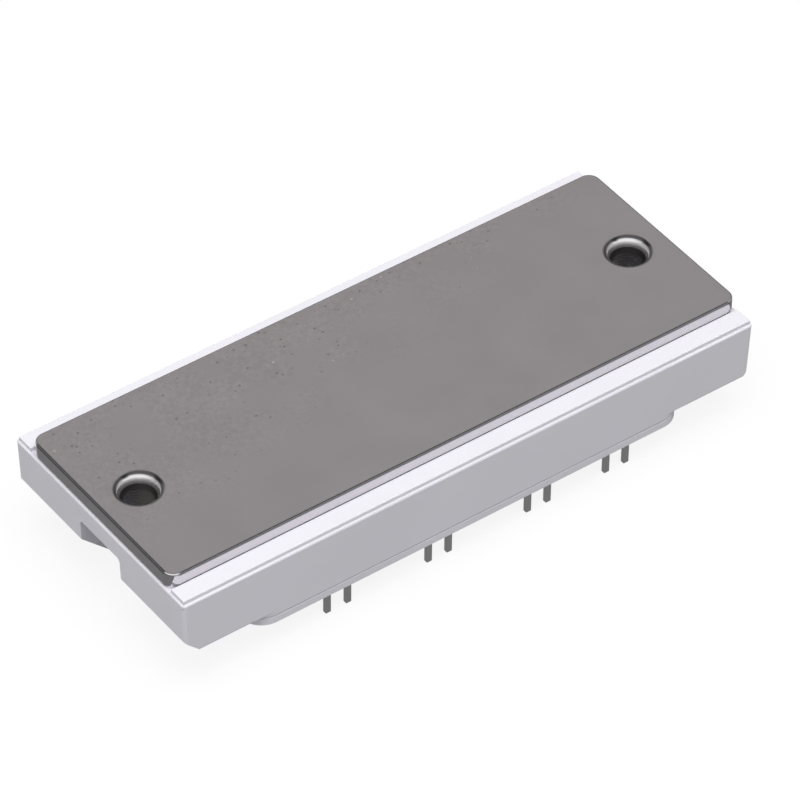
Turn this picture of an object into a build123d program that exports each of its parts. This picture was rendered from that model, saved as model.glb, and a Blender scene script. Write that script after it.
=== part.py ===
# Six-switch power module in a moulded case, lying on its solder pins with the heat-sink face up.
# Millimetres. X runs along the case, Y across it, Z up. The origin is under the middle of the
# case, on the surface that the pin tips stand on.
import math
import os

from build123d import *

# Overall sizes of the case
total_height = 20.5
body_length = 107.8
body_width = 45.0
body_corner_radius = 0.7
end_draft_angle = 2.2
side_draft_angle = 0.75

# Base plate: nickel-plated copper, proud of the case
plate_end_step = 0.3
plate_side_step = 3.8
plate_thickness = 3.0
plate_corner_radius = 2.0
plate_edge_radius = 0.35
plate_side_gap = 0.1

# Screw holes through plate and case, with rolled mouths on the heat-sink side
hole_end_distance = 7.4
hole_diameter = 5.8
mouth_flare = 1.2
mouth_depth = 1.75
sleeve_wall = 1.1
sleeve_gap = 0.03

# Frame: two ledge bars beside the plate, drafted walls, lower end blocks and a longer middle
rim_radius = 0.3
ledge_height = 0.7
ledge_side_step = 0.45
ledge_end_step = 0.35
ledge_edge_radius = 0.15
end_block_height = 10.3
middle_corner_radius = 4.0
middle_step = 0.95
left_bevel = 2.4
right_bevel = 0.9

# Screw recesses, open to the ends and to the pin side
recess_width = 10.6
recess_floor_thickness = 3.7
recess_floor_radius = 0.8
recess_lid_wall = 0.2
collar_wall = 1.3
collar_step = 0.05
collar_lid_gap = 0.15

# Pockets that core out the end blocks from the pin side
core_inset = 1.9
core_end_wall = 3.8
core_wall = 1.8
core_rib = 1.4
core_roof_thickness = 2.5
core_corner_cut = 0.5

# Cavity for the circuit, closed by the plate and the lid
cavity_end_wall = 2.5
cavity_side_wall = 3.1
seat_overlap = 2.1
cavity_corner_radius = 1.5
foot_ledge_depth = 4.5

# Lid, its locating rib, its collars round the pins and its four posts for a circuit board
lid_thickness = 1.5
lid_edge_chamfer = 0.25
rib_height = 1.5
rib_wall = 1.2
rib_gap = 0.15
pin_collar_margin = 0.75
pin_collar_height = 0.35
pin_collar_taper = 20
pin_slot_gap = 0.12
post_diameter = 6.0
post_height = 1.25
post_boss_length = 5.5
post_hole_diameter = 2.1
post_hole_depth = 7.0
post_end_inset = 6.71
post_spacing_y = 22.0

# Terminal pins on the standard grid, each with a foot inside
pin_pitch = 3.81
pin_row_inset = 1.545
output_pin_slots = ((-7, -6), (-2, -1), (3, 4))
plus_pin_slots = (7, 8)
control_pin_slots = ((-8, -7, -6), (-1, 0, 1), (6, 7, 8))
sensor_pin_slots = (-5, -4)
minus_pin_slots = (3, 4)
pin_width = 1.0
pin_depth = 0.8
pin_groove_gap = 0.05
pin_foot_margin = 0.75
pin_foot_thickness = 0.8
pin_taper_length = 3.0
pin_tip_width = 0.55
pin_tip_depth = 0.45
pin_point_length = 0.35
pin_point_share = 0.55

# Three ceramic substrates, one for each phase
substrate_gap = 0.8
substrate_side_gap = 1.1
solder_thickness = 0.25
solder_margin = 0.6
copper_thickness = 0.3
copper_margin = 0.5
ceramic_thickness = 0.64
island_gap = 0.8
strip_width = 2.4
far_pad_width = 3.0
far_pad_count = 7
phase_letters = "uvw"

# Chips, thermistor and bond wires
chip_thickness = 0.2
chip_gap = 3.7
igbt_margin = 1.5
diode_margin = 2.4
igbt_to_diode = 1.4
thermistor_length = 3.2
thermistor_width = 1.6
thermistor_height = 1.1
thermistor_margin = 0.15
wire_width = 0.35
wire_bond_length = 0.8
wire_loop_height = 1.2
wire_apex_share = 0.55
wire_pitch = 1.8
wire_count = 3

# Levels, from the heat-sink face down
plate_face_z = total_height
seat_z = plate_face_z - plate_thickness
end_block_z = seat_z - end_block_height
middle_z = end_block_z - middle_step
lid_z = middle_z - lid_thickness
recess_floor_z = seat_z - recess_floor_thickness
foot_ledge_z = seat_z - foot_ledge_depth
solder_z = seat_z - solder_thickness
bottom_copper_z = solder_z - copper_thickness
ceramic_z = bottom_copper_z - ceramic_thickness
circuit_z = ceramic_z - copper_thickness
chip_face_z = circuit_z - chip_thickness
foot_face_z = foot_ledge_z - pin_foot_thickness

# Sizes that follow from the ones above
plate_length = body_length - 2 * plate_end_step
plate_width = body_width - 2 * plate_side_step
hole_spacing = body_length - 2 * hole_end_distance
middle_length = hole_spacing - recess_width - 2 * recess_lid_wall
collar_height = middle_step + lid_thickness - collar_step
core_length = (body_length - middle_length) / 2 - core_inset - core_end_wall
cavity_length = middle_length - 2 * cavity_end_wall
cavity_width = body_width - 2 * cavity_side_wall
cavity_mouth_width = plate_width - 2 * seat_overlap
post_spacing_x = middle_length - 2 * post_end_inset
pin_row_spacing = body_width - 2 * pin_row_inset
pin_foot_reach = (pin_row_spacing - cavity_mouth_width) / 2 - pin_foot_margin
end_draft = end_block_height * math.tan(math.radians(end_draft_angle))
side_draft = end_block_height * math.tan(math.radians(side_draft_angle))
middle_width = body_width - 2 * side_draft
near_pin_slots = sorted(sum(output_pin_slots, plus_pin_slots))
far_pin_slots = sorted(sum(control_pin_slots, sensor_pin_slots + minus_pin_slots))
ends = (("left", -1, left_bevel), ("right", 1, right_bevel))

# Layout of the etched copper, from the middle of its substrate
substrate_length = (cavity_length - (len(phase_letters) + 1) * substrate_gap) / len(phase_letters)
substrate_width = cavity_mouth_width - 2 * substrate_side_gap
substrate_pitch = substrate_length + substrate_gap
copper_length = substrate_length - 2 * copper_margin
copper_width = substrate_width - 2 * copper_margin
column_x = (copper_length + island_gap) / 4
island_low_y = -copper_width / 2 + strip_width + island_gap
island_high_y = copper_width / 2 - far_pad_width - island_gap

# The chips share the length of their island, and the diode is the smaller one
chip_room = island_high_y - island_low_y - igbt_margin - chip_gap - diode_margin
diode_side = chip_room / (1 + igbt_to_diode)
igbt_side = igbt_to_diode * diode_side
igbt_offset_y = island_high_y - igbt_margin - igbt_side / 2
diode_offset_y = island_low_y + diode_margin + diode_side / 2
hole_places = [side * hole_spacing / 2 for _, side, _ in ends]

BELOW = (Align.CENTER, Align.CENTER, Align.MAX)
ABOVE = (Align.CENTER, Align.CENTER, Align.MIN)


def block(length, width, height, x, y, z, align=BELOW):
    """A box whose top (or bottom) face is centred on the given point."""
    return Pos(x, y, z) * Box(length, width, height, align=align)


def rounded_block(length, width, height, radius, top_z):
    """A plate-like block with rounded plan corners that hangs down from the given level."""
    outline = Pos(0, 0, top_z) * RectangleRounded(length, width, radius)
    return extrude(outline, amount=-height)


def drafted_body():
    """The block that the case is cut from, narrower at its foot, with softened corners and rim."""
    views = []
    for plane, top, draft in ((Plane.XZ, body_length, end_draft), (Plane.YZ, body_width, side_draft)):
        outline = Polyline(
            (top / 2, seat_z),
            (top / 2 - draft, end_block_z),
            (draft - top / 2, end_block_z),
            (-top / 2, seat_z),
            close=True,
        )
        views.append(extrude(plane * make_face(outline), amount=body_length, both=True))
    body = views[0] & views[1]
    body = fillet(body.edges().group_by(Axis.Z)[1], body_corner_radius)
    return fillet(body.faces().sort_by(Axis.Z)[-1].edges(), rim_radius)


def u_shape(side, half_width, end_x):
    """The plan of a screw recess: round about the hole, straight and open towards the end."""
    hole_x = side * hole_spacing / 2
    straight = abs(end_x) - abs(hole_x)
    middle_x = side * (abs(hole_x) + straight / 2)
    return Pos(hole_x, 0) * Circle(half_width) + Pos(middle_x, 0) * Rectangle(straight, 2 * half_width)


def base_plate():
    plate = rounded_block(plate_length, plate_width, plate_thickness, plate_corner_radius, plate_face_z)
    plate = fillet(plate.faces().sort_by(Axis.Z)[-1].edges(), plate_edge_radius)
    bore_radius = hole_diameter / 2
    lip_radius = bore_radius + mouth_flare
    # The mouth is a quarter of an ellipse, turned about the hole's axis.
    roll = EllipticalCenterArc((lip_radius, -mouth_depth), mouth_flare, mouth_depth, 90, arc_size=90)
    wall = Polyline((bore_radius, -mouth_depth), (bore_radius, -plate_thickness), (0, -plate_thickness))
    top = Polyline((0, -plate_thickness), (0, 0), (lip_radius, 0))
    profile = Plane.XZ * make_face(roll + wall + top)
    for hole_x in hole_places:
        plate -= Pos(hole_x, 0, plate_face_z) * revolve(profile, Axis.Z)
    return plate


def end_bevel(side, bevel):
    """The wedge that slopes the outer lower edge of one end block at 45 degrees."""
    end_x = body_length / 2 - end_draft
    reach = collar_height + bevel
    corner = (side * (end_x - bevel), end_block_z)
    slope = Polyline(
        (corner[0] + side * reach, corner[1] + reach),
        (corner[0] - side * reach, corner[1] - reach),
        (corner[0] + side * reach, corner[1] - reach),
        close=True,
    )
    return extrude(Plane.XZ * make_face(slope), amount=body_width, both=True)


def core_pockets(side):
    """Four pockets that keep the walls of an end block about as thick as the others."""
    inner_y = recess_width / 2 + collar_wall + core_wall
    outer_y = body_width / 2 - core_wall
    pocket_width = (outer_y - inner_y - core_rib) / 2
    height = end_block_height - core_roof_thickness
    middle_x = side * (middle_length / 2 + core_inset + core_length / 2)
    pockets = []
    for y_side in (-1, 1):
        for step in (0, 1):
            y = y_side * (inner_y + pocket_width / 2 + step * (pocket_width + core_rib))
            outline = Rectangle(core_length, pocket_width)
            outline = chamfer(outline.vertices(), core_corner_cut)
            pockets.append(extrude(Pos(middle_x, y, end_block_z) * outline, amount=height))
    return pockets


def housing_frame():
    frame = drafted_body()
    middle_height = end_block_height + middle_step
    frame += rounded_block(middle_length, middle_width, middle_height, middle_corner_radius, seat_z)

    # The two bars that flank the plate
    inner_y = plate_width / 2 + plate_side_gap
    bar_width = body_width / 2 - ledge_side_step - inner_y
    bar_length = body_length - 2 * ledge_end_step
    for y_side in (-1, 1):
        bar_y = y_side * (inner_y + bar_width / 2)
        bar = block(bar_length, bar_width, ledge_height, 0, bar_y, seat_z, ABOVE)
        long_edges = bar.edges().group_by(Axis.Z)[-1].filter_by(Axis.X).sort_by(Axis.Y)
        frame += fillet(long_edges[0 if y_side < 0 else -1], ledge_edge_radius)

    # Screw recesses with a collar round each
    end_x = body_length / 2
    recess_height = recess_floor_z - lid_z
    for _, side, bevel in ends:
        collar_plan = u_shape(side, recess_width / 2 + collar_wall, end_x)
        collar = extrude(Pos(0, 0, end_block_z) * collar_plan, -collar_height)
        clear_of_lid = middle_length / 2 + collar_lid_gap
        collar -= block(2 * clear_of_lid, body_width, collar_height, 0, 0, end_block_z)
        frame += collar
        recess_plan = u_shape(side, recess_width / 2, end_x + recess_floor_radius)
        recess = extrude(Pos(0, 0, recess_floor_z) * recess_plan, -recess_height)
        frame -= fillet(recess.faces().sort_by(Axis.Z)[-1].edges(), recess_floor_radius)
        seat_radius = hole_diameter / 2 + sleeve_wall + sleeve_gap
        sleeve_seat = Cylinder(seat_radius, recess_floor_thickness, align=BELOW)
        frame -= Pos(side * hole_spacing / 2, 0, seat_z) * sleeve_seat
        frame -= end_bevel(side, bevel)
        frame -= core_pockets(side)

    # The cavity, narrower under the plate than on the lid's side, so that a foot ledge is left
    corner = cavity_corner_radius
    lower_height = foot_ledge_z - middle_z
    frame -= rounded_block(cavity_length, cavity_mouth_width, foot_ledge_depth, corner, seat_z)
    frame -= rounded_block(cavity_length, cavity_width, lower_height, corner, foot_ledge_z)
    groove_bottom = pin_row_spacing / 2 + pin_depth / 2 + pin_groove_gap
    groove_depth = groove_bottom - cavity_width / 2 + corner
    for x, y_side in pin_places():
        y = y_side * (groove_bottom - groove_depth / 2)
        frame -= block(pin_width + 2 * pin_groove_gap, groove_depth, lower_height, x, y, foot_ledge_z)
    return frame


def screw_sleeve(side):
    sleeve = Cylinder(hole_diameter / 2 + sleeve_wall, recess_floor_thickness, align=BELOW)
    sleeve -= Cylinder(hole_diameter / 2, recess_floor_thickness, align=BELOW)
    return Pos(side * hole_spacing / 2, 0, seat_z) * sleeve


def pin_places():
    """The place along X of every pin, and the side of the case that it is on."""
    near = [(slot * pin_pitch, -1) for slot in near_pin_slots]
    far = [(slot * pin_pitch, 1) for slot in far_pin_slots]
    return near + far


def lid():
    cover = rounded_block(middle_length, middle_width, lid_thickness, middle_corner_radius, middle_z)
    cover = chamfer(cover.faces().sort_by(Axis.Z)[-1].edges(), lid_edge_chamfer)
    # Locating rib that drops into the cavity
    rib_z = middle_z + rib_height
    outer_gap = 2 * rib_gap
    inner_gap = outer_gap + 2 * rib_wall
    rib_length = cavity_length - outer_gap
    rib_width = cavity_width - outer_gap
    rib = rounded_block(rib_length, rib_width, rib_height, cavity_corner_radius, rib_z)
    hollow_length = cavity_length - inner_gap
    hollow_width = cavity_width - inner_gap
    cover += rib - rounded_block(hollow_length, hollow_width, rib_height, cavity_corner_radius, rib_z)
    # Posts that carry the circuit board, each with a boss inside for its screw
    post_length = post_height + lid_thickness + post_boss_length
    post_z = lid_z - post_height
    for x_side in (-1, 1):
        for y_side in (-1, 1):
            place = Pos(x_side * post_spacing_x / 2, y_side * post_spacing_y / 2, post_z)
            cover += place * Cylinder(post_diameter / 2, post_length, align=ABOVE)
            cover -= place * Cylinder(post_hole_diameter / 2, post_hole_depth, align=ABOVE)
    # Raised collars and slots for the pins
    row_y = pin_row_spacing / 2
    for x, y_side in pin_places():
        margin = 2 * pin_collar_margin
        collar = Pos(x, y_side * row_y, lid_z) * Rectangle(pin_width + margin, pin_depth + margin)
        cover += extrude(collar, amount=-pin_collar_height, taper=pin_collar_taper)
    slot_height = pin_collar_height + lid_thickness
    for x, y_side in pin_places():
        gap = 2 * pin_slot_gap
        cover -= block(pin_width + gap, pin_depth + gap, slot_height, x, y_side * row_y, middle_z)
    return cover


def terminal_pin(x, y_side):
    """A leg with a tapered solder end and a foot that points into the case.

    It is what its front and side outlines have in common, as a pin stamped both ways would be.
    """
    row_y = y_side * pin_row_spacing / 2
    half_width = pin_width / 2
    half_depth = y_side * pin_depth / 2
    foot_y = row_y - y_side * pin_foot_reach
    tip_x = pin_tip_width / 2
    tip_y = y_side * pin_tip_depth / 2
    front = Polyline(
        (half_width, foot_ledge_z),
        (half_width, pin_taper_length),
        (tip_x, pin_point_length),
        (pin_point_share * tip_x, 0),
        (-pin_point_share * tip_x, 0),
        (-tip_x, pin_point_length),
        (-half_width, pin_taper_length),
        (-half_width, foot_ledge_z),
        close=True,
    )
    side = Polyline(
        (row_y + half_depth, foot_ledge_z),
        (row_y + half_depth, pin_taper_length),
        (row_y + tip_y, pin_point_length),
        (row_y + pin_point_share * tip_y, 0),
        (row_y - pin_point_share * tip_y, 0),
        (row_y - tip_y, pin_point_length),
        (row_y - half_depth, pin_taper_length),
        (row_y - half_depth, foot_face_z),
        (foot_y, foot_face_z),
        (foot_y, foot_ledge_z),
        close=True,
    )
    front_view = extrude(Plane.XZ * make_face(front), amount=pin_foot_reach + pin_depth, both=True)
    side_view = extrude(Plane.YZ * make_face(side), amount=pin_width, both=True)
    return Pos(x, row_y, 0) * front_view & Pos(x, 0, 0) * side_view


def substrate_parts(centre_x):
    """Solder, lower copper, ceramic and etched upper copper of one phase."""
    solder_length = copper_length - 2 * solder_margin
    solder_width = copper_width - 2 * solder_margin
    solder = block(solder_length, solder_width, solder_thickness, centre_x, 0, seat_z)
    lower = block(copper_length, copper_width, copper_thickness, centre_x, 0, solder_z)
    ceramic = block(substrate_length, substrate_width, ceramic_thickness, centre_x, 0, bottom_copper_z)
    islands = [
        block(length, width, copper_thickness, centre_x + x, y, ceramic_z)
        for length, width, x, y in copper_islands()
    ]
    return solder, lower, ceramic, Compound(islands)


def far_pad_x(index):
    """The middle of a small pad at the far edge, counted from the left."""
    return (index + 0.5) * copper_length / far_pad_count - copper_length / 2


def copper_islands():
    """Length, width and place of each island, from the middle of the substrate."""
    island_length = (copper_length - island_gap) / 2
    island_width = island_high_y - island_low_y
    island_y = (island_high_y + island_low_y) / 2
    islands = []
    for side in (-1, 1):
        islands.append((island_length, strip_width, side * column_x, (strip_width - copper_width) / 2))
        islands.append((island_length, island_width, side * column_x, island_y))
    pad_length = copper_length / far_pad_count - island_gap
    for index in range(far_pad_count):
        islands.append((pad_length, far_pad_width, far_pad_x(index), (copper_width - far_pad_width) / 2))
    return islands


def bond_wire(start, end):
    """A wire bonded flat at both ends, with a loop towards the lid between them."""
    (x0, y0, z0), (x1, y1, z1) = start, end
    span = math.hypot(x1 - x0, y1 - y0)
    loop_z = min(z0, z1) - wire_loop_height
    path = [
        (0, z0),
        (wire_bond_length, z0),
        (wire_apex_share * span, loop_z),
        (span - wire_bond_length, z1),
        (span, z1),
    ]
    underside = [(s, z - wire_width) for s, z in reversed(path)]
    plane = Plane(origin=(x0, y0, 0), x_dir=(x1 - x0, y1 - y0, 0), z_dir=(y1 - y0, x0 - x1, 0))
    side_view = make_face(Polyline(*path, *underside, close=True))
    return extrude(plane * side_view, amount=wire_width / 2, both=True)


def chip_wires(phase):
    """Wires from chip to chip to strip, and from the chips to the control pads."""
    centre_x = phase_x(phase)
    bond = wire_bond_length
    strip_y = strip_width - copper_width / 2 - 1.5 * bond
    pad_y = copper_width / 2 - far_pad_width + 1.5 * bond
    diode_high = diode_offset_y + diode_side / 2 - 1.5 * bond
    diode_low = diode_offset_y - bond
    gate_y = igbt_offset_y + igbt_side / 2 - 2 * bond
    wires = []
    for side in (-1, 1):
        chip_x = centre_x + side * column_x
        for index in range(wire_count):
            x = chip_x + (index - (wire_count - 1) / 2) * wire_pitch
            wires.append(bond_wire((x, igbt_offset_y, chip_face_z), (x, diode_high, chip_face_z)))
            wires.append(bond_wire((x, diode_low, chip_face_z), (x, strip_y, circuit_z)))
    starts = (-column_x, -column_x + wire_pitch, column_x)
    for start_x, slot in zip(starts, control_pin_slots[phase]):
        pad_x = pad_near(phase, slot * pin_pitch)
        wires.append(bond_wire((centre_x + start_x, gate_y, chip_face_z), (pad_x, pad_y, circuit_z)))
    return wires


def pin_wires(phase):
    """Wires from the copper of one phase to the feet of its pins."""
    centre_x = phase_x(phase)
    bond = wire_bond_length
    foot_y = pin_row_spacing / 2 - pin_foot_reach + bond
    strip_y = strip_width - copper_width / 2 - 1.5 * bond
    pad_y = copper_width / 2 - bond
    strip_end = copper_length / 2 - bond
    wires = []
    for slot in output_pin_slots[phase]:
        start_x = centre_x + min(max(slot * pin_pitch - centre_x, -strip_end), -bond)
        wires.append(bond_wire((start_x, strip_y, circuit_z), (slot * pin_pitch, -foot_y, foot_face_z)))
    for x in [slot * pin_pitch for slot in plus_pin_slots if phase_of(slot * pin_pitch) == phase]:
        wires.append(bond_wire((x, strip_y, circuit_z), (x, -foot_y, foot_face_z)))
    for x in [slot * pin_pitch for slot in far_pin_slots if phase_of(slot * pin_pitch) == phase]:
        wires.append(bond_wire((pad_near(phase, x), pad_y, circuit_z), (x, foot_y, foot_face_z)))
    return wires


def thermistor():
    """A chip resistor that bridges the two pads of the sensor pins."""
    pads = [pad_near(0, slot * pin_pitch) for slot in sensor_pin_slots]
    x = sum(pads) / len(pads)
    y = copper_width / 2 - far_pad_width + thermistor_margin + thermistor_width / 2
    return block(thermistor_length, thermistor_width, thermistor_height, x, y, circuit_z)


def phase_x(phase):
    return (phase - (len(phase_letters) - 1) / 2) * substrate_pitch


def phase_of(x):
    """The number of the substrate that is nearest to a pin."""
    return min(range(len(phase_letters)), key=lambda phase: abs(phase_x(phase) - x))


def pad_near(phase, x):
    """The middle of the far pad of one substrate that is nearest to a pin."""
    pads = [phase_x(phase) + far_pad_x(index) for index in range(far_pad_count)]
    return min(pads, key=lambda pad: abs(pad - x))


def all_nodes():
    nodes = {"base_plate": base_plate(), "housing_frame": housing_frame(), "lid": lid()}
    for name, side, _ in ends:
        nodes[f"screw_sleeve_{name}"] = screw_sleeve(side)
    for row, slots, y_side in (("near", near_pin_slots, -1), ("far", far_pin_slots, 1)):
        for number, slot in enumerate(slots, start=1):
            nodes[f"terminal_pin_{row}_{number}"] = terminal_pin(slot * pin_pitch, y_side)
    for phase, letter in enumerate(phase_letters):
        centre_x = phase_x(phase)
        solder, lower, ceramic, islands = substrate_parts(centre_x)
        nodes[f"substrate_solder_{letter}"] = solder
        nodes[f"lower_copper_{letter}"] = lower
        nodes[f"ceramic_{letter}"] = ceramic
        nodes[f"upper_copper_{letter}"] = islands
        for level, side in (("high", -1), ("low", 1)):
            x = centre_x + side * column_x
            igbt = block(igbt_side, igbt_side, chip_thickness, x, igbt_offset_y, circuit_z)
            diode = block(diode_side, diode_side, chip_thickness, x, diode_offset_y, circuit_z)
            nodes[f"igbt_chip_{letter}_{level}"] = igbt
            nodes[f"diode_chip_{letter}_{level}"] = diode
        nodes[f"bond_wires_{letter}"] = Compound(chip_wires(phase) + pin_wires(phase))
    nodes["thermistor"] = thermistor()
    return nodes


os.makedirs("parts", exist_ok=True)
for node_name, shape in all_nodes().items():
    export_step(shape, f"parts/{node_name}.step")
    print(f"{node_name}: {len(shape.solids())} solid(s), {shape.volume:.2f} mm3")
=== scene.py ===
# %% [markdown]
# # Dressing a power module for its photograph
# The object is a flat power module that lies on its solder pins, with its metal heat-sink plate up.
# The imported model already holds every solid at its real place, in metres, so this lesson is about
# looks alone: the camera, the light, the finish of each surface, and the fine forms that a mould,
# a press and a plating bath leave behind. The first step loads that model as a fixed frame.

# %% Load the frame
import math

import bmesh
import bpy
from mathutils import Matrix, Vector


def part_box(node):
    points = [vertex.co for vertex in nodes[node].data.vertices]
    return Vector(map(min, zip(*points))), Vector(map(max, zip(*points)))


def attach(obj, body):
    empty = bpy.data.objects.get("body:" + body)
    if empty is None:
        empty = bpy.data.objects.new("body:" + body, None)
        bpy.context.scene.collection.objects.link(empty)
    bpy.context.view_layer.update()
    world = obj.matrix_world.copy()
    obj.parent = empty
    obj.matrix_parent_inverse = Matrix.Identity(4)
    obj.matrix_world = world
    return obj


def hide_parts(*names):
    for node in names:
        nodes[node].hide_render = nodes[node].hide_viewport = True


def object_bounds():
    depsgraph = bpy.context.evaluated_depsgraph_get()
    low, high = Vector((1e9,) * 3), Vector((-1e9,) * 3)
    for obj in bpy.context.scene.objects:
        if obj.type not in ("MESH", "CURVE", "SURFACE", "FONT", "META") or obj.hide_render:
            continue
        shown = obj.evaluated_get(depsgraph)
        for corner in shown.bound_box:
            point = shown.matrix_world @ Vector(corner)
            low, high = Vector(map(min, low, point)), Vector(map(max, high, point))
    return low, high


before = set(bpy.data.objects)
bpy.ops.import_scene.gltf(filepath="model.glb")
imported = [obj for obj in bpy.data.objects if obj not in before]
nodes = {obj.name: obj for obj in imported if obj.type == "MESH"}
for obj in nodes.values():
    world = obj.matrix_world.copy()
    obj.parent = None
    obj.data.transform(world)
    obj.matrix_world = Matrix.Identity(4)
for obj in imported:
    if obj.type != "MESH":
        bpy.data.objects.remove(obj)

MM = 0.001
cad_low, cad_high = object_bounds()
print("solids:", len(nodes), "box in mm:", [round(v / MM, 2) for v in cad_high - cad_low])

# %% [markdown]
# ## The camera
# The photograph was taken from almost a metre away with a long lens, so its lines converge only a
# little. A camera was fitted to the corners of the case and the rims of the screw holes. The three
# rows below are the directions of its right side, its top and its line of sight in the frame, and
# the place is where it stood. A camera looks along its own -Z, so the third column of its matrix
# is the line of sight turned round. The fit gave the focal length in pixels of an 800 pixel
# picture, and the lens is that length brought to the width of the sensor.

# %% Camera from the fitted directions
CAMERA_PLACE = Vector((-401.628, -544.021, 636.717)) * MM
CAMERA_RIGHT = Vector((0.80759174, -0.58967967, 0.00857179))
CAMERA_UP = Vector((0.39453071, 0.551016, 0.73534134))
CAMERA_SIGHT = Vector((0.43833904, 0.59047376, -0.6776427))
FOCAL_IN_PIXELS = 5954.12
IMAGE_SIDE = 800
SENSOR_SIDE = 36.0
NEAREST_SEEN = 0.05
FARTHEST_SEEN = 20.0


def make_camera():
    data = bpy.data.cameras.new("product_camera")
    data.sensor_width = SENSOR_SIDE
    data.lens = FOCAL_IN_PIXELS * SENSOR_SIDE / IMAGE_SIDE
    data.clip_start = NEAREST_SEEN
    data.clip_end = FARTHEST_SEEN
    camera = bpy.data.objects.new("product_camera", data)
    turn = Matrix((CAMERA_RIGHT, CAMERA_UP, -CAMERA_SIGHT)).transposed()
    camera.matrix_world = Matrix.Translation(CAMERA_PLACE) @ turn.to_4x4()
    bpy.context.scene.collection.objects.link(camera)
    bpy.context.scene.camera = camera
    print("lens in mm:", round(data.lens, 2))


make_camera()

# %% [markdown]
# ## Writing node maths as expressions
# A pattern is arithmetic on the place of each point, and arithmetic reads best as an expression.
# The class below wraps one socket. Each operator adds one Math node and wraps its result, so
# `1 - mask`, `-x` and `abs(x)` are nodes too. Most patterns ask whether a value lies above, below
# or near another, with a soft step between yes and no, so those three questions have their own
# methods.

# %% A socket that takes part in arithmetic
class Signal:
    """What one socket gives out."""

    def __init__(self, work, socket):
        self.work = work
        self.socket = socket

    def math(self, operation, *others):
        sockets = dict(enumerate((self, *others)))
        return self.work.node("ShaderNodeMath", {"operation": operation}, sockets)

    def __add__(self, other):
        return self.math("ADD", other)

    __radd__ = __add__

    def __mul__(self, other):
        return self.math("MULTIPLY", other)

    __rmul__ = __mul__

    def __sub__(self, other):
        return self.math("SUBTRACT", other)

    def __neg__(self):
        return self * -1

    def __rsub__(self, other):
        return -self + other

    def __abs__(self):
        return self.math("ABSOLUTE")

    def above(self, edge, softness):
        """0 below the edge and 1 above it, with a soft step between."""
        return self.work.node(
            "ShaderNodeMapRange",
            {"interpolation_type": "SMOOTHSTEP"},
            {"Value": self, "From Min": edge - softness, "From Max": edge + softness},
        )

    def below(self, edge, softness):
        """1 below the edge and 0 above it, with a soft step between."""
        return 1 - self.above(edge, softness)

    def near(self, middle, reach, softness):
        """1 within a reach of the middle and 0 outside, with soft steps between."""
        return abs(self - middle).below(reach, softness)


# %% [markdown]
# Every other kind of node comes from one method of the tree's own class, which takes the node's
# type, its settings and its sockets. Colours can't go through a Math node, which would turn them
# grey, so a blend of two colours is a method of its own. The same classes serve shaders, the sky
# and Geometry Nodes, because all three are node trees.

# %% A tree that is written down step by step
def colour(value):
    return value if isinstance(value, Signal) else (*value, 1.0)


class NodeWork:
    """A node tree, emptied and then filled node by node."""

    def __init__(self, tree):
        self.tree = tree
        self.tree.nodes.clear()

    def node(self, kind, settings, sockets, output=0):
        made = self.tree.nodes.new(kind)
        for name, value in settings.items():
            setattr(made, name, value)
        for name, value in sockets.items():
            self.join(made.inputs[name], value)
        return None if output is None else Signal(self, made.outputs[output])

    def join(self, socket, value):
        if isinstance(value, Signal):
            self.tree.links.new(value.socket, socket)
        else:
            socket.default_value = value

    def axes(self, vector):
        return [self.node("ShaderNodeSeparateXYZ", {}, {"Vector": vector}, name) for name in "XYZ"]

    def blend(self, share, first, second):
        """The first colour where the share is 0, the second where it is 1."""
        sockets = {"Factor": share, 6: colour(first), 7: colour(second)}
        return self.node("ShaderNodeMix", {"data_type": "RGBA"}, sockets, 2)


# %% [markdown]
# ## A finish
# A finish is a material with one Principled shader. Its patterns read Object coordinates, which are
# metres in the frame here, so a grain of a quarter of a millimetre is that on every piece. The
# helpers give the patterns that several finishes share: noise, round cells and a bump. The bump's
# depth is a real depth too, a few thousandths of a millimetre for a satin surface.

# %% A finish with its shared patterns
class Finish(NodeWork):
    """One procedural material, from the place of a point to the Principled shader."""

    def __init__(self, name, **constants):
        self.material = bpy.data.materials.new(name)
        self.material.use_nodes = True
        super().__init__(self.material.node_tree)
        self.shader = self.tree.nodes.new("ShaderNodeBsdfPrincipled")
        surface = Signal(self, self.shader.outputs[0])
        self.node("ShaderNodeOutputMaterial", {}, {"Surface": surface}, None)
        self.set(**constants)
        self.place = self.node("ShaderNodeTexCoord", {}, {}, "Object")

    def set(self, **sockets):
        for name, value in sockets.items():
            self.join(self.shader.inputs[name.replace("_", " ")], value)

    def place_mm(self):
        """The place along the three axes, in millimetres."""
        return [axis * (1 / MM) for axis in self.axes(self.place)]

    def noise(self, grain_mm, detail=2.0, roughness=0.5, stretch=(1, 1, 1)):
        """Noise about the grain's size, from 0 to 1, stretched by an amount along each axis."""
        place = self.place
        if stretch != (1, 1, 1):
            scale = [1 / s for s in stretch]
            place = self.node("ShaderNodeMapping", {}, {"Vector": place, "Scale": scale})
        sockets = {"Vector": place, "Scale": 1 / (grain_mm * MM)}
        sockets.update({"Detail": detail, "Roughness": roughness})
        return self.node("ShaderNodeTexNoise", {"noise_dimensions": "3D"}, sockets)

    def cells(self, spacing_mm):
        """The distance to the nearest of many scattered points, in cell sizes."""
        sockets = {"Vector": self.place, "Scale": 1 / (spacing_mm * MM)}
        return self.node("ShaderNodeTexVoronoi", {"feature": "F1"}, sockets, "Distance")

    def bump(self, height, depth_mm):
        """Sets the shader's normal from a height of 0 to 1 that stands for a depth."""
        sockets = {"Height": height, "Distance": depth_mm * MM, "Strength": 1.0}
        self.set(Normal=self.node("ShaderNodeBump", {}, sockets, "Normal"))

    def done(self):
        print("finish:", self.material.name, "nodes:", len(self.tree.nodes))
        return self.material


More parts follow.
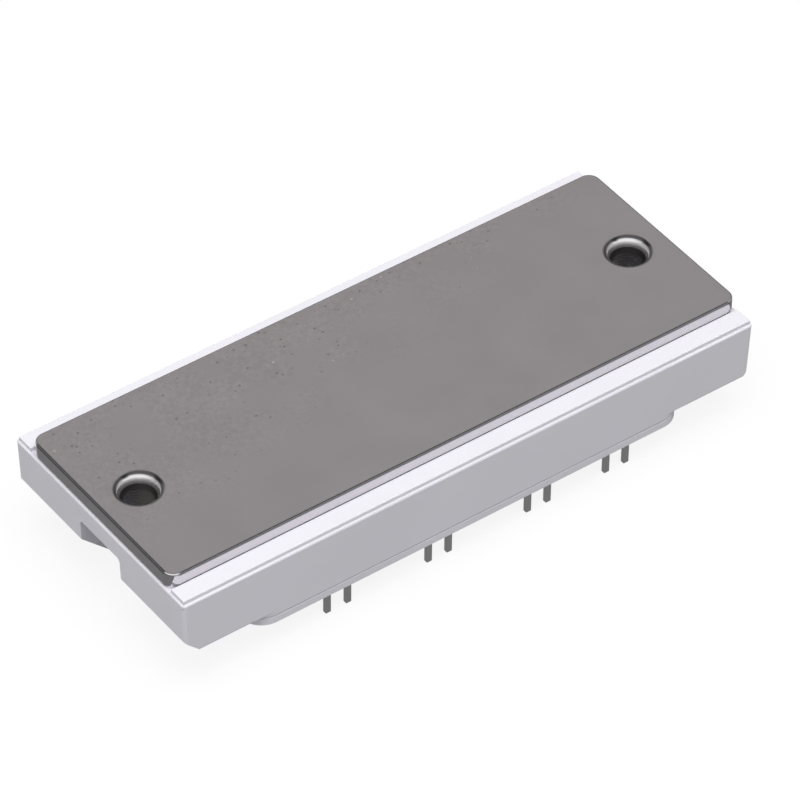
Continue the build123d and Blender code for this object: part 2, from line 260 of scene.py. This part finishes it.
# %% [markdown]
# ## The heat-sink plate
# The plate is stamped from copper, 3 mm thick, and plated with nickel. Its face is flat and a little
# matt, and its sheared sides and the two mouths, rolled by a hard tool, are smoother. The face's grey
# is painted darker than nickel mirrors, as a painted dim reflection, and the sides are lighter. The
# finish finds these areas from the height of a point and from its distance to the nearer hole. A
# mouth starts in the face's own grey, its lower half is painted almost white as a painted highlight,
# and the bore below it is painted dark as painted shade. The rounded edges carry a thin painted dark
# reflection, just under the face and round each mouth, fainter at the plate's corners. What makes it
# can't be told from there, so the finish draws it, fainter at the plate's corners.
#
# Each value below is a place in millimetres and the softness of the step there. The two lines have
# a middle, a reach to either side of it, and a softness.

# %% The areas of the plate
plate_low, plate_high = [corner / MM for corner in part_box("base_plate")]
HOLE_X = 46.5
MOUTH_EDGE = (4.05, 0.05)
SIDE_TOP = (plate_high.z - 0.05, 0.03)
ROLLED_TOP = (plate_high.z - 0.34, 0.15)
PAINTED_HIGHLIGHT_TOP = (19.7, 0.35)
BORE_TOP = (18.8, 0.06)
CORNER_X = (plate_high.x - 1.6, 0.3)
CORNER_Y = (plate_high.y - 1.6, 0.3)
# The two lines below are painted dark reflections on the rounded edges, weaker at the plate's
# corners.
OUTER_LINE = (plate_high.z - 0.3, 0.22, 0.08)
MOUTH_LINE = (plate_high.z - 0.17, 0.13, 0.06)
CORNER_FADE_SHARE = 0.8


def plate_areas(finish):
    """How far a point belongs to each area, from 0 to 1."""
    x, y, z = finish.place_mm()
    off_hole = abs(x) - HOLE_X
    mouth = (off_hole * off_hole + y * y).math("SQRT").below(*MOUTH_EDGE)
    corner = abs(x).above(*CORNER_X) * abs(y).above(*CORNER_Y)
    return {
        "mouth": mouth,
        "side": z.below(*SIDE_TOP) * (1 - mouth),
        "rolled": z.below(*ROLLED_TOP) * mouth,
        "painted mouth highlight": z.below(*PAINTED_HIGHLIGHT_TOP) * mouth,
        "bore": z.below(*BORE_TOP) * mouth,
        "outer line": z.near(*OUTER_LINE) * (1 - mouth) * (1 - corner * CORNER_FADE_SHARE),
        "mouth line": z.near(*MOUTH_LINE) * mouth,
    }


print("plate in mm:", [round(v, 2) for v in plate_high - plate_low])

# %% [markdown]
# Along the far side the plating is a little mottled, with sparse small pits and here and there a
# bright speck, as from a bath that was not quite clean. A slanting edge bounds that zone and a
# coarse noise breaks it up. The pits are the middles of cells, since cells are spread evenly but
# never in rows, and the same pits are pressed into the surface by the bump later on.

# %% The face, with its pits and specks
# Painted dim reflection: the face's grey is darker than nickel mirrors, so face and sides read as a
# shaded and a lit copy of one metal.
FACE_COLOUR = (0.293, 0.273, 0.277)
PALER_FACE_COLOUR = [c * 1.06 for c in FACE_COLOUR]
PIT_COLOUR = (0.13, 0.12, 0.12)
SPECK_COLOUR = (0.52, 0.50, 0.50)
ZONE_SLANT = 0.25
ZONE_EDGE = (4.0, 7.0)
PALE_MOTTLE_SHARE = 0.10
DARK_MOTTLE_SHARE = 0.13
PIT_SHARE = 0.6
SPECK_SHARE = 0.8


def plate_face(finish, bright):
    """The colour of the face, and where its pits are."""
    x, y, z = finish.place_mm()
    clouds = finish.noise(grain_mm=11.0, detail=3.0)
    mottle = finish.noise(grain_mm=0.8, detail=3.0, roughness=0.7)
    zone = finish.noise(grain_mm=8.0).above(0.47, 0.08) * (y - x * ZONE_SLANT).above(*ZONE_EDGE)
    zone = zone * (1 - bright)
    pits = finish.cells(spacing_mm=1.7).below(0.12, 0.05) * zone
    specks = finish.cells(spacing_mm=3.5).below(0.05, 0.02) * zone
    pale_mottle = mottle.above(0.58, 0.12) * zone
    dark_mottle = mottle.below(0.42, 0.12) * zone
    face = finish.blend(clouds.above(0.5, 0.25), FACE_COLOUR, PALER_FACE_COLOUR)
    face = finish.blend(pale_mottle * PALE_MOTTLE_SHARE, face, SPECK_COLOUR)
    face = finish.blend(dark_mottle * DARK_MOTTLE_SHARE, face, PIT_COLOUR)
    face = finish.blend(pits * PIT_SHARE, face, PIT_COLOUR)
    return finish.blend(specks * SPECK_SHARE, face, SPECK_COLOUR), pits


# %% [markdown]
# The whole finish lays one area over the other, from the face to the dark lines. Nickel is a metal,
# so its colour is the share of light that it mirrors, and the roughness says how clearly.

# %% Nickel-plated copper
SIDE_COLOUR = (0.71, 0.69, 0.71)
WORN_SIDE_COLOUR = [c * 0.9 for c in SIDE_COLOUR]
# Painted highlight: the colour of the lower half of each mouth.
PAINTED_HIGHLIGHT_COLOUR = (0.93, 0.91, 0.90)
# Painted shade: the dark grey of the bore inside each hole.
BORE_SHADE_COLOUR = (0.20, 0.19, 0.19)
DARK_REFLECTION_COLOUR = (0.10, 0.10, 0.105)
OUTER_LINE_SHARE = 0.76
MOUTH_LINE_SHARE = 0.85
FACE_ROUGHNESS = 0.27
ROUGHNESS_CHANGES = {"mouth": -0.06, "side": -0.17, "painted mouth highlight": 0.2}


def nickel_finish():
    finish = Finish("nickel_plating", Metallic=1.0)
    areas = plate_areas(finish)
    bright = areas["side"] + areas["rolled"]
    face, pits = plate_face(finish, bright)
    grain = finish.noise(grain_mm=0.22, roughness=0.6)
    wear = finish.noise(grain_mm=0.5, detail=3.0, roughness=0.7)
    base = finish.blend(bright, face, finish.blend(wear, WORN_SIDE_COLOUR, SIDE_COLOUR))
    # Painted highlight: the lower half of each mouth is painted almost white.
    base = finish.blend(areas["painted mouth highlight"], base, PAINTED_HIGHLIGHT_COLOUR)
    # Painted shade: the bore inside each hole is painted dark.
    base = finish.blend(areas["bore"], base, BORE_SHADE_COLOUR)
    # Painted dark reflection: thin dark lines on the rounded edges under the face and round each
    # mouth.
    lines = areas["outer line"] * OUTER_LINE_SHARE + areas["mouth line"] * MOUTH_LINE_SHARE
    base = finish.blend(lines, base, DARK_REFLECTION_COLOUR)
    roughness = FACE_ROUGHNESS + grain * 0.08
    for area, change in ROUGHNESS_CHANGES.items():
        roughness = roughness + areas[area] * change
    finish.set(Base_Color=base, Roughness=roughness)
    finish.bump(grain * 0.3 - pits, depth_mm=0.012)
    return finish.done()


finishes = {"base_plate": nickel_finish()}

# %% [markdown]
# ## The moulded case
# Frame and lid are one white glass-filled plastic. The mould was spark-eroded, which leaves a fine
# satin grain, and the melt leaves faint clouds where it met. The white is slightly cold. Three lines
# of the case are darker than its walls, painted shade where light hardly gets in: the joint between
# lid and frame, the foot of the end blocks, and the inner corner of the rim beside the ledge. They
# are finer than a modelled groove could show, so the finish paints that shade from the height of a
# point.

# %% White moulded plastic
CASE_COLOUR = (0.80, 0.79, 0.845)
CLOUD_COLOUR = [c * 0.97 for c in CASE_COLOUR]
PAINTED_SHADE_COLOUR = (0.42, 0.41, 0.43)
LID_END = (41.0, 0.1)
LID_SEAM = (6.25, 0.12, 0.08)
BLOCK_FOOT = (7.4, 0.2)
RIM_HEIGHT = (16.8, 0.12, 0.05)
RIM_OFF_MIDDLE = (22.1, 0.22, 0.08)
SEAM_SHARE = 0.7
FOOT_SHARE = 0.3
RIM_SHARE = 0.6


def case_finish():
    finish = Finish("white_moulding", IOR=1.5)
    x, y, z = finish.place_mm()
    middle = abs(x).below(*LID_END)
    seam = z.near(*LID_SEAM) * middle
    foot = z.below(*BLOCK_FOOT) * (1 - middle)
    rim = z.near(*RIM_HEIGHT) * abs(y).near(*RIM_OFF_MIDDLE)
    clouds = finish.noise(grain_mm=14.0, detail=3.0)
    grain = finish.noise(grain_mm=0.16, roughness=0.65)
    base = finish.blend(clouds.above(0.5, 0.3), CASE_COLOUR, CLOUD_COLOUR)
    # Painted shade along the lid joint, the foot of the end blocks and the rim's inner corner.
    painted_shade = seam * SEAM_SHARE + foot * FOOT_SHARE + rim * RIM_SHARE
    base = finish.blend(painted_shade, base, PAINTED_SHADE_COLOUR)
    finish.set(Base_Color=base, Roughness=0.46 + grain * 0.12)
    finish.bump(grain, depth_mm=0.006)
    return finish.done()


finishes["housing_frame"] = case_finish()
finishes["lid"] = finishes["housing_frame"]

# %% [markdown]
# ## Pins and sleeves
# The pins are stamped brass with a dull tin layer. The stamping leaves fine lines along each pin,
# which are noise stretched along the height, and the solder end is a little brighter. The two
# sleeves in the screw holes are turned steel, with rings from the tool, which are noise stretched
# along the other two axes.

# %% Tinned pins and turned sleeves
TIN_COLOURS = ((0.58, 0.575, 0.57), (0.74, 0.735, 0.73))
DIPPED_COLOUR = (0.80, 0.80, 0.80)
DIPPED_SHARE = 0.5
DIPPED_TOP = (3.4, 0.5)
# Partly painted shade: the rings are real, but the steel's grey is darker than bare turned steel,
# standing in for the shade inside the screw holes.
SHADED_STEEL_COLOURS = ((0.17, 0.165, 0.16), (0.27, 0.26, 0.25))


def pin_finish():
    finish = Finish("tinned_brass", Metallic=1.0)
    lines = finish.noise(grain_mm=0.12, roughness=0.6, stretch=(1, 1, 14))
    dipped = finish.place_mm()[2].below(*DIPPED_TOP)
    base = finish.blend(dipped * DIPPED_SHARE, finish.blend(lines, *TIN_COLOURS), DIPPED_COLOUR)
    finish.set(Base_Color=base, Roughness=0.30 + lines * 0.2 - dipped * 0.08)
    finish.bump(lines, depth_mm=0.01)
    return finish.done()


def sleeve_finish():
    finish = Finish("turned_steel", Metallic=1.0)
    rings = finish.noise(grain_mm=0.15, detail=1.0, stretch=(30, 30, 1))
    finish.set(Base_Color=finish.blend(rings, *SHADED_STEEL_COLOURS), Roughness=0.20 + rings * 0.15)
    finish.bump(rings, depth_mm=0.01)
    return finish.done()


finishes["terminal_pin"] = pin_finish()
finishes["screw_sleeve"] = sleeve_finish()

# %% [markdown]
# ## The circuit inside
# Plate and lid hide the circuit, but the model can be taken apart, so its pieces have their own
# finishes. Each is one row of a table: two colours that a noise blends, how metallic and how rough
# it is, and the size and depth of its grain in millimetres.

# %% Finishes of the hidden circuit
INNER_FINISHES = {
    "substrate_solder": ("set_solder", (0.42, 0.43, 0.45), (0.55, 0.56, 0.58), 1.0, 0.42, 0.5, 0.02),
    "lower_copper": ("bonded_copper", (0.66, 0.33, 0.20), (0.78, 0.44, 0.29), 1.0, 0.36, 0.4, 0.008),
    "upper_copper": ("etched_copper", (0.64, 0.32, 0.20), (0.80, 0.46, 0.31), 1.0, 0.30, 0.3, 0.008),
    "ceramic": ("alumina", (0.80, 0.79, 0.75), (0.88, 0.87, 0.84), 0.0, 0.62, 0.25, 0.006),
    "igbt_chip": ("switch_silicon", (0.34, 0.34, 0.36), (0.48, 0.48, 0.50), 0.8, 0.25, 0.6, 0.002),
    "diode_chip": ("diode_silicon", (0.30, 0.31, 0.36), (0.42, 0.43, 0.48), 0.8, 0.22, 0.6, 0.002),
    "bond_wires": ("aluminium_wire", (0.72, 0.72, 0.73), (0.86, 0.86, 0.87), 1.0, 0.30, 0.2, 0.004),
    "thermistor": ("sensor_ceramic", (0.05, 0.05, 0.055), (0.09, 0.09, 0.095), 0.0, 0.45, 0.2, 0.004),
}


def inner_finish(name, dark, light, metallic, roughness, grain_mm, depth_mm):
    finish = Finish(name, Metallic=metallic)
    grain = finish.noise(grain_mm, detail=3.0, roughness=0.6)
    finish.set(Base_Color=finish.blend(grain, dark, light), Roughness=roughness + grain * 0.12)
    finish.bump(grain, depth_mm)
    return finish.done()


for prefix, values in INNER_FINISHES.items():
    finishes[prefix] = inner_finish(*values)

# %% [markdown]
# ## Dressing the solids
# Each solid's name starts with the kind of piece that it is, and that kind has its finish.

for name, solid in nodes.items():
    prefix = next(p for p in finishes if name.startswith(p))
    solid.data.materials.clear()
    solid.data.materials.append(finishes[prefix])
print("dressed:", len(nodes), "solids with", len(set(finishes.values())), "finishes")

# %% [markdown]
# ## Shapes that repeat
# Pins and bond wires repeat one shape many times, which is what Geometry Nodes are for. A tree is
# one recipe with named sizes. The class below makes such a recipe, and its `apply` runs it on a
# small starting mesh, keeps the plain result and takes the recipe off again, so that what is left
# is an ordinary mesh that any program can read.

# %% A Geometry Nodes recipe
class Recipe(NodeWork):
    """A Geometry Nodes tree with named sizes, in metres."""

    def __init__(self, name, sizes):
        super().__init__(bpy.data.node_groups.new(name, "GeometryNodeTree"))
        face = self.tree.interface
        face.new_socket(name="Geometry", in_out="INPUT", socket_type="NodeSocketGeometry")
        face.new_socket(name="Geometry", in_out="OUTPUT", socket_type="NodeSocketGeometry")
        self.values = {}
        for label, value in sizes.items():
            socket = face.new_socket(name=label, in_out="INPUT", socket_type="NodeSocketFloat")
            self.values[socket.identifier] = value
        self.given = self.tree.nodes.new("NodeGroupInput")
        self.start = self.size("Geometry")

    def size(self, label):
        return Signal(self, self.given.outputs[label])

    def vector(self, x, y, z):
        return self.node("ShaderNodeCombineXYZ", {}, {"X": x, "Y": y, "Z": z})

    def choose(self, kind, values):
        """One of several values for each point, by the point's number."""
        made = self.tree.nodes.new("GeometryNodeIndexSwitch")
        made.data_type = kind
        while len(made.index_switch_items) < len(values):
            made.index_switch_items.new()
        number = self.node("GeometryNodeInputIndex", {}, {})
        self.join(made.inputs["Index"], number)
        for place, value in enumerate(values):
            self.join(made.inputs[str(place)], value)
        return Signal(self, made.outputs[0])

    def end(self, geometry, material):
        """The last two steps of every recipe: real geometry instead of instances, and a material."""
        real = self.node("GeometryNodeRealizeInstances", {}, {"Geometry": geometry})
        named = self.node("GeometryNodeSetMaterial", {}, {"Geometry": real, "Material": material})
        self.node("NodeGroupOutput", {}, {"Geometry": named}, None)

    def apply(self, start, smooth_angle):
        """Runs the recipe on an object and leaves the plain result in it."""
        modifier = start.modifiers.new(self.tree.name, "NODES")
        modifier.node_group = self.tree
        for identifier, value in self.values.items():
            modifier[identifier] = value
        evaluated = start.evaluated_get(bpy.context.evaluated_depsgraph_get())
        mesh = bpy.data.meshes.new_from_object(evaluated)
        start.modifiers.remove(modifier)
        start.data = mesh
        mesh.shade_smooth()
        mesh.set_sharp_from_angle(angle=math.radians(smooth_angle))
        mesh.calc_loop_triangles()
        print(start.name, "triangles:", len(mesh.loop_triangles))


def starting_mesh(name, points, edges):
    mesh = bpy.data.meshes.new(name)
    mesh.from_pydata(points, edges, [])
    start = bpy.data.objects.new(name, mesh)
    bpy.context.scene.collection.objects.link(start)
    return start


# %% [markdown]
# ### The solder pins
# Each pin is one flat strip, bent once into a leg and a foot, and coined to a taper at the solder
# end. The solids in the frame have knife-sharp edges. Real stamping and tinning leave edges with a
# radius of about a tenth of a millimetre, and those edges are the bright lines that make a pin look
# like metal. The recipe draws the strip's path once: from the end of the foot, round the bend and
# down the leg to the tip. The strip's width shrinks over the last points of the path, and one
# rounded rectangle is swept along it.

# %% The recipe of a bent and coined pin
PIN_SIZES = {
    "Leg Width": 1.0 * MM,
    "Leg Depth": 0.8 * MM,
    "Edge Radius": 0.11 * MM,
    "Bend Radius": 0.5 * MM,
    "Taper Start": 3.0 * MM,
    "Point Start": 0.35 * MM,
    "Tip Share": 0.55,
    "Point Share": 0.30,
}
BEND_STEPS = 5
EDGE_STEPS = 3


def pin_strip(recipe):
    foot = recipe.size("Foot Height")
    stops = [
        recipe.vector(0.0, recipe.size("Foot Reach"), foot),
        recipe.vector(0.0, 0.0, foot),
        recipe.vector(0.0, 0.0, recipe.size("Taper Start")),
        recipe.vector(0.0, 0.0, recipe.size("Point Start")),
        recipe.vector(0.0, 0.0, 0.0),
    ]
    shares = [1.0, 1.0, 1.0, recipe.size("Tip Share"), recipe.size("Point Share")]
    bends = [0.0, recipe.size("Bend Radius"), 0.0, 0.0, 0.0]
    line = recipe.node("GeometryNodeMeshLine", {}, {"Count": len(stops)})
    path = recipe.node("GeometryNodeMeshToCurve", {}, {"Mesh": line})
    spot = recipe.choose("VECTOR", stops)
    path = recipe.node("GeometryNodeSetPosition", {}, {"Geometry": path, "Position": spot})
    share = recipe.choose("FLOAT", shares)
    path = recipe.node("GeometryNodeSetCurveRadius", {}, {"Curve": path, "Radius": share})
    path = recipe.node(
        "GeometryNodeFilletCurve",
        {"mode": "POLY"},
        {"Curve": path, "Count": BEND_STEPS, "Radius": recipe.choose("FLOAT", bends)},
    )
    section = recipe.node(
        "GeometryNodeCurvePrimitiveQuadrilateral",
        {"mode": "RECTANGLE"},
        {"Width": recipe.size("Leg Width"), "Height": recipe.size("Leg Depth")},
    )
    section = recipe.node(
        "GeometryNodeFilletCurve",
        {"mode": "POLY"},
        {"Curve": section, "Count": EDGE_STEPS, "Radius": recipe.size("Edge Radius")},
    )
    sockets = {"Curve": path, "Profile Curve": section, "Fill Caps": True}
    return recipe.node("GeometryNodeCurveToMesh", {}, sockets)


def pin_recipe(foot_reach, foot_height):
    sizes = {**PIN_SIZES, "Foot Reach": foot_reach, "Foot Height": foot_height}
    recipe = Recipe("solder_pins", sizes)
    strip = pin_strip(recipe)
    turn = recipe.node("GeometryNodeInputNamedAttribute", {"data_type": "FLOAT"}, {"Name": "turn"})
    about_z = recipe.vector(0.0, 0.0, turn)
    rotation = recipe.node("FunctionNodeEulerToRotation", {}, {"Euler": about_z})
    sockets = {"Points": recipe.start, "Instance": strip, "Rotation": rotation}
    pins = recipe.node("GeometryNodeInstanceOnPoints", {}, sockets)
    recipe.end(pins, finishes["terminal_pin"])
    return recipe


# %% [markdown]
# Every pin is an instance of that strip. Its place is read off the box of the solid that it stands
# for, and the far row is turned by half a turn so that its feet point inwards too. All the feet are
# alike, so the last box gives their reach and height. The finished mesh rides on the module's one
# body, and it replaces the solids by name.

# %% Twenty-one pins at the places of the solids
PIN_SMOOTH_ANGLE = 40


def make_pins():
    names = [name for name in nodes if name.startswith("terminal_pin")]
    half_depth = PIN_SIZES["Leg Depth"] / 2
    places, turns = [], []
    for name in names:
        low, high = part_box(name)
        near = high.y < 0
        row_y = low.y + half_depth if near else high.y - half_depth
        places.append(((low.x + high.x) / 2, row_y, 0))
        turns.append(0.0 if near else math.pi)
    foot_reach = high.y - low.y - half_depth
    start = starting_mesh("solder_pins", places, [])
    turn = start.data.attributes.new("turn", "FLOAT", "POINT")
    turn.data.foreach_set("value", turns)
    pin_recipe(foot_reach, high.z - half_depth).apply(start, PIN_SMOOTH_ANGLE)
    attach(start, "root")
    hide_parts(*names)
    print("pins:", len(names))


make_pins()

# %% [markdown]
# ### The bond wires
# Aluminium wire, 0.35 mm thick, joins chips, copper and pin feet. A wedge tool presses each end
# flat on its pad and draws a loop between them. The frame has these wires as angular bars. Each bar
# is five rings of four corners, so the middles of its rings are the wire's own line. To find them,
# the corners of each separate bar are gathered and sorted along the bar.

# %% The middle line of each angular bar
RING_CORNERS = 4
MERGE_DISTANCE = 0.001 * MM


def loose_islands(mesh):
    """The corners of each separate solid in a mesh."""
    work = bmesh.new()
    work.from_mesh(mesh)
    bmesh.ops.remove_doubles(work, verts=work.verts, dist=MERGE_DISTANCE)
    left = set(work.verts)
    islands = []
    while left:
        front = [left.pop()]
        island = []
        while front:
            corner = front.pop()
            island.append(corner.co.copy())
            beside = {edge.other_vert(corner) for edge in corner.link_edges} & left
            left -= beside
            front.extend(beside)
        islands.append(island)
    work.free()
    return islands


def middle_line(corners):
    """The middles of the rings of corners, from one end of a bar to the other."""
    first = max(corners, key=lambda c: (c - corners[0]).xy.length)
    last = max(corners, key=lambda c: (c - first).xy.length)
    along = (last - first).xy
    ordered = sorted(corners, key=lambda c: c.xy.dot(along))
    rings = [ordered[i:i + RING_CORNERS] for i in range(0, len(ordered), RING_CORNERS)]
    return [sum(ring, Vector()) / RING_CORNERS for ring in rings]


# %% [markdown]
# The recipe rounds the kinks of each line, as a drawn wire does by itself, and sweeps a circle
# along it. Eight sides are enough for a wire as thin as this.

# %% Round wires along the middle lines
WIRE_SIZES = {"Wire Radius": 0.175 * MM, "Loop Radius": 1.6 * MM}
LOOP_STEPS = 5
WIRE_SIDES = 8
WIRE_SMOOTH_ANGLE = 50


def wire_recipe():
    recipe = Recipe("bond_wires", WIRE_SIZES)
    line = recipe.node("GeometryNodeMeshToCurve", {}, {"Mesh": recipe.start})
    loop = recipe.size("Loop Radius")
    sockets = {"Curve": line, "Count": LOOP_STEPS, "Radius": loop, "Limit Radius": True}
    line = recipe.node("GeometryNodeFilletCurve", {"mode": "POLY"}, sockets)
    sockets = {"Resolution": WIRE_SIDES, "Radius": recipe.size("Wire Radius")}
    ring = recipe.node("GeometryNodeCurvePrimitiveCircle", {"mode": "RADIUS"}, sockets)
    sockets = {"Curve": line, "Profile Curve": ring, "Fill Caps": True}
    wires = recipe.node("GeometryNodeCurveToMesh", {}, sockets)
    recipe.end(wires, finishes["bond_wires"])
    return recipe


def make_wires():
    names = [name for name in nodes if name.startswith("bond_wires")]
    points, edges = [], []
    for name in names:
        for corners in loose_islands(nodes[name].data):
            line = middle_line(corners)
            count = len(points)
            points.extend(line)
            edges.extend((i, i + 1) for i in range(count, count + len(line) - 1))
    start = starting_mesh("bond_wires", points, edges)
    wire_recipe().apply(start, WIRE_SMOOTH_ANGLE)
    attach(start, "root")
    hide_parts(*names)
    print("wires:", len(points) - len(edges))


make_wires()

# %% [markdown]
# ## The floor
# The floor is white to the camera and still takes the object's soft shadow. A mix of a plain white
# and a lit white does that: the plain share lightens the shadow and the lit share keeps it. To
# mirrored rays the floor is a plain grey, which gives the left side of the plate its even grey. To
# the rays that bounce off it, it is a darker grey than to the camera, since a white one would
# light the walls of the case from below and wash out their shading. From below, the floor is
# clear, so that the pin side can be looked at too.

# %% A floor that is white to the camera
FLOOR_SIDE = 6.0
PLAIN_SHARE = 0.88
MIRRORED_FLOOR = 0.22
WHITE_FLOOR = (0.93, 0.93, 0.93)
GREY_FLOOR = (0.42, 0.42, 0.42)


def floor_finish():
    material = bpy.data.materials.new("studio_floor")
    material.use_nodes = True
    work = NodeWork(material.node_tree)
    seen = work.node("ShaderNodeLightPath", {}, {}, "Is Camera Ray")
    mirrored = work.node("ShaderNodeLightPath", {}, {}, "Is Glossy Ray")
    white = work.blend(seen, GREY_FLOOR, WHITE_FLOOR)
    lit = work.node("ShaderNodeBsdfDiffuse", {}, {"Color": white})
    plain = work.node("ShaderNodeEmission", {}, {"Strength": seen + mirrored * MIRRORED_FLOOR})
    share = seen * PLAIN_SHARE + mirrored
    mix = work.node("ShaderNodeMixShader", {}, {"Fac": share, 1: lit, 2: plain})
    under = work.node("ShaderNodeNewGeometry", {}, {}, "Backfacing")
    clear = work.node("ShaderNodeBsdfTransparent", {}, {})
    both = work.node("ShaderNodeMixShader", {}, {"Fac": under, 1: mix, 2: clear})
    work.node("ShaderNodeOutputMaterial", {}, {"Surface": both}, None)
    return material


def make_floor():
    half = FLOOR_SIDE / 2
    mesh = bpy.data.meshes.new("studio_floor")
    corners = [(-half, -half, 0), (half, -half, 0), (half, half, 0), (-half, half, 0)]
    mesh.from_pydata(corners, [], [(0, 1, 2, 3)])
    mesh.materials.append(floor_finish())
    floor = bpy.data.objects.new("studio_floor", mesh)
    bpy.context.scene.collection.objects.link(floor)
    print("floor in m:", FLOOR_SIDE)


make_floor()

# %% [markdown]
# ## The room that the metal mirrors
# Metal is a mirror, so its look comes from what stands around it. The plate's face shows an even
# grey, its near and left edges show black lines, and the rolled mouths of the holes show a bright
# band, so the room must be bright in most directions and dark in a few. The sky below gives
# mirrored rays such a room: a slightly brighter front, a dim ceiling, two narrow dark cards, hung
# high, that draw the black lines, and a dimmer wall at the right and low at the back. All other
# rays see an even sky, and the camera sees white.
#
# A direction is three numbers from -1 to 1: x to the right end of the case, y to its far side and
# z up. Each part of the room is a range of directions and the share of light that it takes away.

# %% The sky
SKY_STRENGTH = 0.40
FRONT_GAIN = 0.25
DARKNESS = {
    "ceiling": 0.4,
    "front card": 0.92,
    "left card": 0.92,
    "right wall": 0.5,
    "low back": 0.45,
}


def mirrored_room(x, y, z):
    """How bright the room is in each direction."""
    high = z.above(0.42, 0.06)
    parts = {
        "ceiling": z.above(0.86, 0.06) * x.below(0.3, 0.12),
        "front card": x.near(0.44, 0.18, 0.06) * y.below(0.0, 0.12) * high,
        "left card": y.near(0.59, 0.20, 0.08) * x.below(0.1, 0.14) * high,
        "right wall": x.above(0.66, 0.08),
        "low back": y.above(0.25, 0.2) * z.below(0.48, 0.1),
    }
    room = y.below(-0.2, 0.2) * FRONT_GAIN + 1
    for name, part in parts.items():
        room = room * (1 - part * DARKNESS[name])
    return room


def make_sky():
    world = bpy.data.worlds.new("studio_sky")
    world.use_nodes = True
    bpy.context.scene.world = world
    work = NodeWork(world.node_tree)
    room = mirrored_room(*work.axes(work.node("ShaderNodeTexCoord", {}, {}, "Generated")))
    seen = work.node("ShaderNodeLightPath", {}, {}, "Is Camera Ray")
    mirrored = work.node("ShaderNodeLightPath", {}, {}, "Is Glossy Ray")
    strength = seen + (1 - seen) * (mirrored * room + (1 - mirrored) * SKY_STRENGTH)
    sky = work.node("ShaderNodeBackground", {}, {"Color": (1, 1, 1, 1), "Strength": strength})
    work.node("ShaderNodeOutputWorld", {}, {"Surface": sky}, None)
    print("sky nodes:", len(work.tree.nodes))


make_sky()

# %% [markdown]
# ## The lamps
# A large soft lamp overhead gives the ledges their white and the shadow its soft edge, and a weak
# one at the left lifts the end wall a little above the long wall. Both hide from mirrored rays,
# because the room above already says what the metal mirrors.

# %% Two soft lamps, with place in metres, side in metres and power in watts
LAMPS = {
    "overhead_softbox": ((-0.08, -0.16, 0.95), 0.8, 8.0),
    "left_softbox": ((-0.9, -0.1, 0.5), 0.5, 1.1),
}


def soft_lamp(name, place, side, power, aim):
    """A square lamp that faces the point it is aimed at."""
    data = bpy.data.lights.new(name, "AREA")
    data.shape = "SQUARE"
    data.size = side
    data.energy = power
    lamp = bpy.data.objects.new(name, data)
    lamp.location = place
    lamp.rotation_mode = "QUATERNION"
    lamp.rotation_quaternion = (aim - Vector(place)).to_track_quat("-Z", "Y")
    lamp.visible_glossy = False
    bpy.context.scene.collection.objects.link(lamp)


for name, (place, side, power) in LAMPS.items():
    soft_lamp(name, place, side, power, aim=(cad_low + cad_high) / 2)
print("lamps:", len(LAMPS))

# %% [markdown]
# Colours go to the picture as they are, with the Standard view.

# %% View transform
bpy.context.scene.view_settings.view_transform = "Standard"
